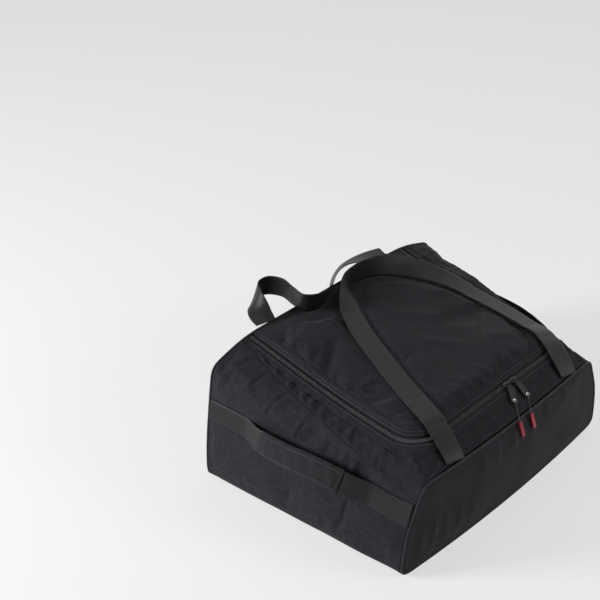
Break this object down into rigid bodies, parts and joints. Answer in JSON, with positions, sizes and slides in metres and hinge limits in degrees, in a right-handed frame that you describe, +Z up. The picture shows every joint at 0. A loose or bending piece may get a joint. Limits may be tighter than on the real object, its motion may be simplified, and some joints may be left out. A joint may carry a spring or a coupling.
{
  "type": "roof box bag",
  "caption": "Soft wedge-shaped travel bag for a car roof box, with a U-shaped zip lid, piped seams, loose webbing carry handles and padded side grips.",
  "frame": {"origin": "on the ground under the middle of the bounding box, loose handles included", "axes": "+X from the tall back panel towards the low nose panel with the zip pulls, +Y across the bag towards the far end panel, +Z up"},
  "size_m": [0.615, 0.7868, 0.3636],
  "materials": {
    "shell_cloth": "matt woven polyester, dark charcoal",
    "grip_cloth": "matt woven polyester over foam, stitched along its length",
    "piping_cloth": "woven tape over a round cord, slight sheen",
    "zip_tape": "close-woven tape",
    "zip_coil": "nylon coil with a soft shine",
    "webbing": "flat polyester webbing with a satin sheen",
    "slider_metal": "black lacquered zinc",
    "tab_rubber": "matt moulded rubber",
    "eyelet_metal": "bright pressed eyelet",
    "cord_nylon": "thin braided cord",
    "tag_rubber": "red moulded rubber"
  },
  "bodies": {
    "bag": {"base_panel": "shell_cloth", "near_end_panel": "shell_cloth", "far_end_panel": "shell_cloth", "top_band": "shell_cloth", "lid_flap": "shell_cloth", "zip_tape_outer": "zip_tape", "zip_tape_inner": "zip_tape", "zip_chain_outer": "zip_coil", "zip_chain_inner": "zip_coil", "back_piping": "piping_cloth", "nose_piping": "piping_cloth", "back_panel": "shell_cloth", "nose_panel": "shell_cloth", "nose_carry_handle": "webbing", "back_carry_handle": "webbing", "near_side_webbing": "webbing", "near_grip": "grip_cloth", "far_side_webbing": "webbing", "far_grip": "grip_cloth"},
    "near_slider": {"slider_near": "slider_metal"},
    "near_pull": {"pull_ring_near": "slider_metal", "pull_tab_near": "tab_rubber", "eyelet_near": "eyelet_metal", "pull_cord_near": "cord_nylon", "tag_near": "tag_rubber"},
    "far_slider": {"slider_far": "slider_metal"},
    "far_pull": {"pull_ring_far": "slider_metal", "pull_tab_far": "tab_rubber", "eyelet_far": "eyelet_metal", "pull_cord_far": "cord_nylon", "tag_far": "tag_rubber"}
  },
  "joints": [
    {"name": "near_slider_run", "type": "slide", "parent": "bag", "child": "near_slider", "axis": [0, -1, 0], "range_m": [0, 0.13]},
    {"name": "near_pull_swing", "type": "hinge", "parent": "near_slider", "child": "near_pull", "pos_m": [0.23525, 0.044, 0.24741], "axis": [0, -1, 0], "range_deg": [0, 110]},
    {"name": "far_slider_run", "type": "slide", "parent": "bag", "child": "far_slider", "axis": [0, 1, 0], "range_m": [0, 0.098]},
    {"name": "far_pull_swing", "type": "hinge", "parent": "far_slider", "child": "far_pull", "pos_m": [0.23525, 0.066, 0.24741], "axis": [0, -1, 0], "range_deg": [0, 110]}
  ]
}
